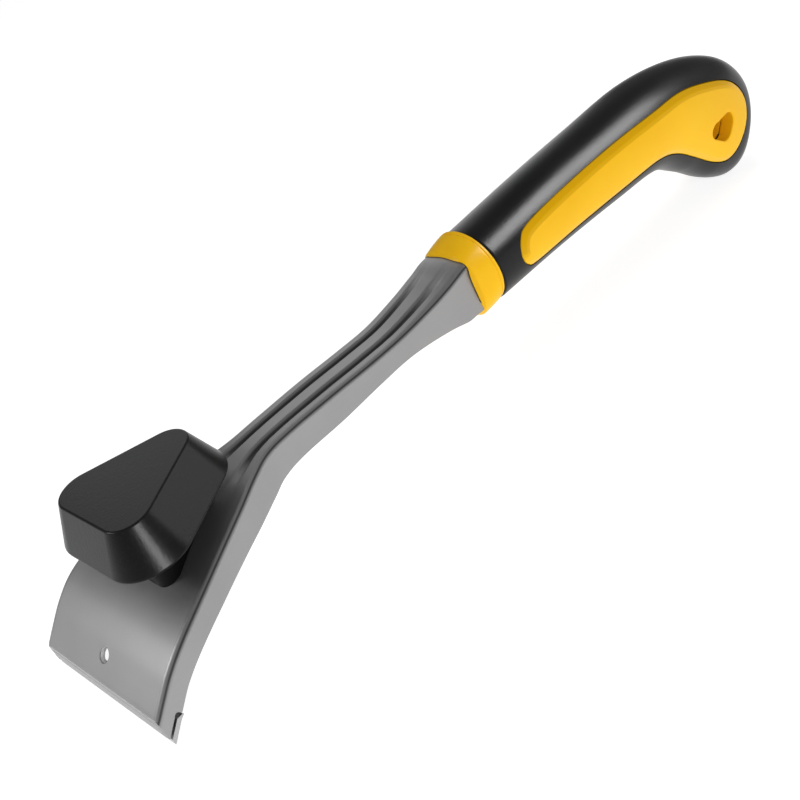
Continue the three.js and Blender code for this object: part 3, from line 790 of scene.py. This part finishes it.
def grip_sleeve(surface):
    """The soft moulding: an outer skin with a window for each inlay."""
    sleeve = handle("grip_moulding", rounded=True)
    hollow = handle("hollow", GRIP_SKIN, CORE_HALF + GAP, 64, 70, end=HOLLOW_END)
    combine(sleeve, hollow)
    outline = inlay_outline(GAP)
    points, triangles = fill_patch([outline], [], 2.0, 1.2)
    for side in (1, -1):
        window = thick_patch(
            "window", points, triangles,
            lambda p: (p[0], side * REACH, p[1]),
            lambda p: (p[0], side * min(CORE_HALF, surface.half_width(*p) - 1.6), p[1]),
        )
        combine(sleeve, window)
    return combine(sleeve, hang_hole())


PAINTED_SHADE_WIDTH = 2.85  # width of the painted shade along the inlay's top and front edge
PAINTED_SHADE_SIDE = (-0.45, 0.9)  # x, z of the way the edge faces where it gets painted shade
# Inset from the inlay's outline, and height over the grip, of each level of its bevelled rim. The
# second table says the same of the rim round the hanging hole.
INLAY_RIM = [(0, -0.45), (0.06, -0.22), (0.2, -0.1), (1.45, 0.75),
             (1.65, 0.86), (1.9, 0.9), (2.7, 0.9), (3.0, 0.9)]
HOLE_RIM = [(0, 0.35), (0.15, 0.68), (0.45, 0.86), (0.8, 0.9)]


def mark_painted_edge_shade(inlay, outline):
    """Stores a mark for painted shade: 1 on the edge along the inlay's top and front, where it turns in, 0
    elsewhere.
    """
    start = np.array(outline)
    run = np.roll(start, -1, axis=0) - start
    values = []
    for vertex in inlay.data.vertices:
        away = np.array((vertex.co.x, vertex.co.z)) - start
        share = np.clip((away * run).sum(1) / (run * run).sum(1), 0, 1)
        gap = np.linalg.norm(away - run * share[:, None], axis=1)
        nearest = gap.argmin()
        outward = np.array((-run[nearest, 1], run[nearest, 0])) / np.linalg.norm(run[nearest])
        facing = outward @ PAINTED_SHADE_SIDE
        values.append(smoothstep((gap[nearest] < PAINTED_SHADE_WIDTH) * facing))
    layer = inlay.data.attributes.new("painted_edge_shade", "FLOAT", "POINT")
    layer.data.foreach_set("value", values)


def side_inlay(name, surface, side):
    """An inlay on one side, 1 or -1: it follows the grip's surface and stands a little proud of it."""
    loops = [inlay_outline(-inset) for inset, _ in INLAY_RIM]
    hole = hang_line()
    hole_loops = [offset_outline(hole, inset) for inset, _ in HOLE_RIM[1:]]
    heights = []
    known = KDTree(sum(len(outline) for outline in loops + [hole] + hole_loops))
    for outline, (_, height) in zip(loops + [hole] + hole_loops, INLAY_RIM + HOLE_RIM):
        for point in outline:
            known.insert((point[0], point[1], 0), len(heights))
            heights.append(height)
    known.balance()
    points, triangles = fill_patch(loops[:1] + hole_loops + loops[1:], [hole], 1.6, 0.9)

    def top(point):
        _, index, distance = known.find((point[0], point[1], 0))
        height = heights[index] if distance < 0.01 else INLAY_RIM[-1][1]
        return (point[0], side * (surface.half_width(*point) + height), point[1])

    def bottom(point):
        return (point[0], side * min(INLAY_FLOOR, surface.half_width(*point) - 1.3), point[1])

    inlay = thick_patch(name, points, triangles, top, bottom)
    mark_painted_edge_shade(inlay, inlay_outline(0))
    return inlay


# ---------------------------------------------------------------------------------------- materials


class Shader:
    """A small builder of node materials."""

    def __init__(self, name):
        self.material = bpy.data.materials.new(name)
        self.material.use_nodes = True
        self.nodes = self.material.node_tree.nodes
        self.links = self.material.node_tree.links
        self.surface = self.nodes["Principled BSDF"]
        self.place = self.nodes.new("ShaderNodeTexCoord").outputs["Object"]

    def set(self, **values):
        for name, value in values.items():
            self.surface.inputs[name.replace("_", " ")].default_value = value

    def link(self, output, name):
        self.links.new(output, self.surface.inputs[name])

    def stretched(self, scale, tilt=0.0):
        mapping = self.nodes.new("ShaderNodeMapping")
        mapping.inputs["Scale"].default_value = scale
        mapping.inputs["Rotation"].default_value = (0, tilt, 0)
        self.links.new(self.place, mapping.inputs["Vector"])
        return mapping.outputs["Vector"]

    def noise(self, scale, detail=3.0, roughness=0.5, vector=None):
        node = self.nodes.new("ShaderNodeTexNoise")
        node.inputs["Scale"].default_value = scale
        node.inputs["Detail"].default_value = detail
        node.inputs["Roughness"].default_value = roughness
        self.links.new(vector or self.place, node.inputs["Vector"])
        return node.outputs["Fac"]

    def stored(self, name):
        node = self.nodes.new("ShaderNodeAttribute")
        node.attribute_name = name
        return node.outputs["Fac"]

    def cells(self, scale):
        node = self.nodes.new("ShaderNodeTexVoronoi")
        node.inputs["Scale"].default_value = scale
        self.links.new(self.place, node.inputs["Vector"])
        return node.outputs["Distance"]

    def spread(self, value, low, high, to_low=0.0, to_high=1.0):
        node = self.nodes.new("ShaderNodeMapRange")
        node.inputs["From Min"].default_value = low
        node.inputs["From Max"].default_value = high
        node.inputs["To Min"].default_value = to_low
        node.inputs["To Max"].default_value = to_high
        self.links.new(value, node.inputs["Value"])
        return node.outputs["Result"]

    def maths(self, operation, a, b):
        node = self.nodes.new("ShaderNodeMath")
        node.operation = operation
        for socket, value in zip(node.inputs, (a, b)):
            if isinstance(value, (int, float)):
                socket.default_value = value
            else:
                self.links.new(value, socket)
        return node.outputs["Value"]

    def mix(self, factor, a, b):
        node = self.nodes.new("ShaderNodeMix")
        node.data_type = "RGBA"
        sockets = [s for s in node.inputs if s.type == "RGBA"]
        for socket, value in zip(sockets, (a, b)):
            if isinstance(value, tuple):
                socket.default_value = (*value, 1)
            else:
                self.links.new(value, socket)
        self.links.new(factor, node.inputs["Factor"])
        return next(s for s in node.outputs if s.type == "RGBA")

    def bump(self, height, strength, distance):
        node = self.nodes.new("ShaderNodeBump")
        node.inputs["Strength"].default_value = strength
        node.inputs["Distance"].default_value = distance
        self.links.new(height, node.inputs["Height"])
        self.link(node.outputs["Normal"], "Normal")


def pressed_steel():
    """Satin sheet steel: faint rolling grain, fine tooth, cloudy tone and a few handling marks.

    The stored marks darken it with a painted dark reflection along the bend between web and flange and with
    painted shade in the pressed grooves.
    """
    s = Shader("pressed_steel")
    grain = s.noise(60, 5, 0.6, s.stretched((4, 34, 34)))
    cloud = s.noise(22, 3)
    tooth = s.noise(2600, 2)
    marks = s.spread(s.noise(70, 6, 0.7, s.stretched((3, 40, 40), 0.5)), 0.66, 0.72)
    tone = s.mix(s.spread(cloud, 0.35, 0.65), (0.325, 0.321, 0.323), (0.38, 0.375, 0.378))
    tone = s.mix(s.spread(grain, 0.3, 0.7, 0, 0.35), tone, (0.42, 0.42, 0.425))
    tone = s.mix(s.maths("MULTIPLY", marks, 0.25), tone, (0.27, 0.27, 0.275))
    crease = s.stored("crease")
    # painted dark reflection: the outside of the bend between web and flange is made near black
    shade = s.maths("MULTIPLY", s.spread(crease, 0.26, 0.4), s.spread(crease, 0.48, 0.6, 1, 0))
    tone = s.mix(s.maths("MULTIPLY", shade, 0.8), tone, (0.05, 0.05, 0.052))
    # painted shade: the pressed grooves are made near black, like shade in a recess
    tone = s.mix(s.spread(s.stored("groove"), 0.3, 0.8, 0, 0.85), tone, (0.03, 0.03, 0.031))
    s.link(tone, "Base Color")
    rough = s.maths("ADD", grain, s.maths("MULTIPLY", cloud, 0.5))
    s.link(s.spread(rough, 0.5, 1.0, 0.42, 0.54), "Roughness")
    s.set(Metallic=0.85)
    s.bump(s.maths("ADD", s.maths("MULTIPLY", tooth, 0.6), s.maths("MULTIPLY", grain, 0.4)), 0.35, 0.00002)
    return s.material


def cut_steel():
    """The bright edge that shears leave on the sheet: fine lines across its thickness."""
    s = Shader("cut_steel")
    lines = s.noise(90, 5, 0.7, s.stretched((2, 60, 2)))
    s.link(s.mix(s.spread(lines, 0.3, 0.7), (0.88, 0.88, 0.885), (0.96, 0.96, 0.96)), "Base Color")
    s.link(s.spread(lines, 0.3, 0.7, 0.38, 0.5), "Roughness")
    s.set(Metallic=0.4)
    s.bump(lines, 0.3, 0.00002)
    return s.material


def ground_steel():
    """Ground blade steel: bright, with fine grinding lines along the blade's length."""
    s = Shader("blade_steel")
    lines = s.noise(80, 6, 0.7, s.stretched((40, 1.5, 40)))
    cloud = s.noise(40, 3)
    tone = s.mix(s.spread(lines, 0.3, 0.7), (0.38, 0.38, 0.385), (0.50, 0.50, 0.505))
    tone = s.mix(s.spread(cloud, 0.45, 0.8, 0, 0.3), tone, (0.34, 0.335, 0.33))
    s.link(tone, "Base Color")
    s.link(s.spread(lines, 0.3, 0.7, 0.24, 0.38), "Roughness")
    s.set(Metallic=0.95)
    s.bump(lines, 0.4, 0.00002)
    return s.material


def zinc_steel():
    """Bright zinc plating with its cloudy bloom."""
    s = Shader("zinc_steel")
    cloud = s.noise(90, 4)
    grain = s.noise(1500, 2)
    tone = s.mix(s.spread(cloud, 0.35, 0.65), (0.56, 0.57, 0.60), (0.70, 0.70, 0.68))
    s.link(tone, "Base Color")
    s.link(s.spread(cloud, 0.3, 0.7, 0.28, 0.42), "Roughness")
    s.set(Metallic=0.95)
    s.bump(grain, 0.3, 0.00002)
    return s.material


def turned_brass():
    s = Shader("brass")
    lines = s.noise(300, 4, 0.6, s.stretched((1, 1, 30)))
    s.link(s.mix(s.spread(lines, 0.3, 0.7), (0.62, 0.44, 0.18), (0.76, 0.58, 0.28)), "Base Color")
    s.link(s.spread(lines, 0.3, 0.7, 0.28, 0.42), "Roughness")
    s.set(Metallic=1.0)
    s.bump(lines, 0.3, 0.00003)
    return s.material


def moulded_black(name, dark, light, rough, gloss, grain_scale, depth):
    """Black moulding with a spark-eroded grain, faint cloudiness and a little dust in the grain."""
    s = Shader(name)
    grain = s.noise(grain_scale, 2)
    pits = s.cells(grain_scale * 0.7)
    cloud = s.noise(35, 4)
    tone = s.mix(s.spread(cloud, 0.35, 0.7), dark, light)
    tone = s.mix(s.spread(grain, 0.55, 0.8, 0, 0.18), tone, tuple(3 * c for c in light))
    s.link(tone, "Base Color")
    s.link(s.spread(s.maths("ADD", cloud, s.maths("MULTIPLY", grain, 0.4)), 0.4, 1.0, *rough), "Roughness")
    s.set(Specular_IOR_Level=gloss)
    s.bump(s.maths("ADD", grain, s.maths("MULTIPLY", pits, 0.6)), 0.5, depth)
    return s.material


def yellow_plastic():
    """Semi-gloss yellow moulding: slightly uneven pigment, fine grain, soft scuffs and painted shade along
    the inlays' top and front edge.
    """
    s = Shader("yellow_plastic")
    cloud = s.noise(28, 3)
    grain = s.noise(1600, 2)
    scuffs = s.spread(s.noise(90, 6, 0.75, s.stretched((3, 12, 12), 0.9)), 0.64, 0.75)
    tone = s.mix(s.spread(cloud, 0.3, 0.7), (0.90, 0.49, 0.006), (0.95, 0.55, 0.012))
    tone = s.mix(s.maths("MULTIPLY", scuffs, 0.15), tone, (0.96, 0.64, 0.08))
    # painted shade: the inlay's edge along its top and front is darker, as if less light fell on it
    tone = s.mix(s.spread(s.stored("painted_edge_shade"), 0.1, 0.6), tone, (0.74, 0.40, 0.003))
    s.link(tone, "Base Color")
    rough = s.maths("ADD", cloud, s.maths("MULTIPLY", scuffs, 0.4))
    s.link(s.spread(rough, 0.3, 1.0, 0.30, 0.42), "Roughness")
    s.set(Subsurface_Weight=0.08, Subsurface_Scale=0.002, Specular_IOR_Level=0.14)
    s.bump(grain, 0.3, 0.00002)
    return s.material


def floor_paint():
    s = Shader("studio_floor")
    cloud = s.noise(1.5, 3)
    s.link(s.mix(cloud, (0.55, 0.55, 0.55), (0.57, 0.57, 0.57)), "Base Color")
    s.set(Roughness=0.9, Specular_IOR_Level=0.1, Emission_Color=(1, 1, 1, 1), Emission_Strength=0.8)
    return s.material


# --------------------------------------------------------------------------------------- assembling

STEEL = pressed_steel()
CUT_STEEL = cut_steel()
BLADE_STEEL = ground_steel()
ZINC = zinc_steel()
BRASS = turned_brass()
# painted shade: a darker, matte copy of the knob's black for the foot in the shade under the knob
PEDESTAL_PAINTED_SHADE = moulded_black("pedestal_plastic_painted_shade", (0.004, 0.004, 0.004), (0.007, 0.007, 0.007),
                               (0.5, 0.6), 0.15, 1400, 0.00004)
KNOB_BLACK = moulded_black("knob_plastic", (0.006, 0.006, 0.0063), (0.009, 0.009, 0.0093),
                           (0.26, 0.33), 0.12, 1400, 0.00004)
GRIP_BLACK = moulded_black("grip_rubber", (0.005, 0.005, 0.0053), (0.008, 0.008, 0.0084),
                           (0.28, 0.36), 0.2, 1100, 0.00004)
YELLOW = yellow_plastic()

surface = Surface()
BODY_PIECE = place_piece(scraper_body(), "frame", STEEL, "scraper_body")
for piece in (BODY_PIECE, place_piece(blade_seat(), "frame", STEEL, "blade_seat"),
              place_piece(blade(), "blade", BLADE_STEEL, "blade")):
    shine_cut_faces(piece, CUT_STEEL)
place_piece(clamp_plate(), "clamp", ZINC, "clamp_plate", sharp=50)
place_piece(clamp_bolt(), "clamp", ZINC, "clamp_bolt", sharp=25)
KNOB_PIECE = place_piece(knob_shell(), "knob", KNOB_BLACK, "knob_shell")
place_piece(knob_pedestal(), "frame", PEDESTAL_PAINTED_SHADE, "knob_pedestal")
COLLAR_PIECE = place_piece(collar(), "frame", YELLOW, "collar", sharp=50)
place_piece(handle_core(), "frame", YELLOW, "handle_core")
GRIP_PIECE = place_piece(grip_sleeve(surface), "frame", GRIP_BLACK, "grip_sleeve")
for name, node, side in (("inlay_left", "side_inlay_left", 1), ("inlay_right", "side_inlay_right", -1)):
    place_piece(side_inlay(name, surface, side), "frame", YELLOW, node, sharp=60)

KEPT_NODES = {"thrust_washer": ZINC, "tang_pin_front": ZINC, "tang_pin_rear": ZINC, "knob_insert": BRASS}
for node, material in KEPT_NODES.items():
    piece = frame["nodes"][node]
    for index in range(len(piece.data.materials)):
        piece.data.materials[index] = material

# --------------------------------------------------------------------------------- floor and studio


def studio_floor():
    """A round floor just under the part."""
    reach, level, sides = 4.0, -0.0002, 48
    rings = []
    for radius in np.linspace(0, reach, 9)[1:]:
        rings.append([(radius * math.cos(a), radius * math.sin(a), level)
                      for a in np.linspace(0, 2 * math.pi, sides, endpoint=False)])
    faces = [tuple(range(sides))]
    for start in range(0, (len(rings) - 1) * sides, sides):
        for k in range(sides):
            a = start + k
            b = start + (k + 1) % sides
            faces.append((a, b, b + sides, a + sides))
    floor = new_piece("studio_floor", [v for ring in rings for v in ring], faces)
    floor.data.materials.append(floor_paint())


def area_light(name, target, direction, distance, size, power, in_gloss=True, in_diffuse=True, only=()):
    """A softbox turned to face a point.

    Without in_gloss it doesn't show in reflections, and without in_diffuse it shows only in them.
    Where pieces are given in only, it lights just those.
    """
    lamp = bpy.data.lights.new(name, "AREA")
    lamp.shape = "RECTANGLE"
    lamp.size, lamp.size_y = size
    lamp.energy = power
    holder = bpy.data.objects.new(name, lamp)
    holder.location = target + Vector(direction).normalized() * distance
    holder.rotation_euler = (target - holder.location).to_track_quat("-Z", "Y").to_euler()
    holder.visible_glossy = in_gloss
    holder.visible_diffuse = in_diffuse
    if only:
        lit = bpy.data.collections.new(name + "_lit")
        for piece in only:
            lit.objects.link(piece)
        holder.light_linking.receiver_collection = lit
    bpy.context.scene.collection.objects.link(holder)


def viewing_camera():
    """The photograph's viewing angle: the view's bearing, dip and roll, and its distance to the shank."""
    bearing, dip, roll = math.radians(57.5348), math.radians(-31.0783), math.radians(-22.155)
    distance = 0.41154
    aim = Vector((-0.03305, 0, 0.01605))
    forward = Vector((math.cos(dip) * math.cos(bearing), math.cos(dip) * math.sin(bearing), math.sin(dip)))
    level_right = forward.cross(Vector((0, 0, 1))).normalized()
    level_up = level_right.cross(forward)
    right = level_right * math.cos(roll) + level_up * math.sin(roll)
    up = level_up * math.cos(roll) - level_right * math.sin(roll)
    data = bpy.data.cameras.new("camera")
    data.lens = 58.247
    data.sensor_width = 36
    data.clip_start = 0.01
    camera = bpy.data.objects.new("camera", data)
    turned_frame = Matrix((right, up, -forward)).transposed().to_4x4()
    camera.matrix_world = Matrix.Translation(aim - forward * distance) @ turned_frame
    bpy.context.scene.collection.objects.link(camera)
    bpy.context.scene.camera = camera


def studio_world(strength):
    world = bpy.data.worlds.new("studio")
    world.use_nodes = True
    background = world.node_tree.nodes["Background"]
    background.inputs["Color"].default_value = (1, 1, 1, 1)
    background.inputs["Strength"].default_value = strength
    bpy.context.scene.world = world


studio_floor()
studio_world(0.22)
MIDDLE = (cad_box[0] + cad_box[1]) / 2
GRIP = TOOL @ Vector((80, 0, -8))
KNOB = TOOL @ Vector((KNOB_X, 0, 19))
HEAD = TOOL @ Vector((-140, 0, -8))
area_light("key", HEAD, (-0.76, 0.56, 0.53), 0.36, (0.06, 0.06), 0.31)
area_light("left", KNOB, (-0.9, 0.4, 0.55), 1.3, (0.35, 0.35), 2, only=(KNOB_PIECE,))
area_light("corner", KNOB, (-0.23, -0.92, 0.1), 0.5, (0.16, 0.3), 4, in_diffuse=False, only=(KNOB_PIECE,))
area_light("strip", GRIP, (0.46, -0.62, 0.62), 0.55, (0.3, 0.3), 6.5, in_diffuse=False,
           only=(GRIP_PIECE, COLLAR_PIECE))
area_light("edge", GRIP, (0.2, 0.95, 0.25), 0.5, (0.5, 0.3), 0.6, in_diffuse=False, only=(GRIP_PIECE,))
area_light("back", MIDDLE, (0.6, 0.72, 0.5), 1.0, (0.9, 0.9), 1.9, in_diffuse=False, only=(BODY_PIECE,))
area_light("sheen", KNOB, (0.46, 0.72, 0.51), 0.45, (0.4, 0.4), 0.55, in_diffuse=False, only=(KNOB_PIECE,))
area_light("side", KNOB, (0.85, -0.45, 0.25), 0.6, (0.3, 0.3), 1.0, only=(KNOB_PIECE,))
area_light("front", MIDDLE, (-0.2, -1.0, 0.35), 1.4, (1.0, 0.5), 8.5, in_gloss=False)
area_light("top", MIDDLE, (0.1, 0.1, 1.0), 1.3, (0.6, 0.6), 4, in_gloss=False)
viewing_camera()
bpy.context.scene.view_settings.view_transform = "Standard"
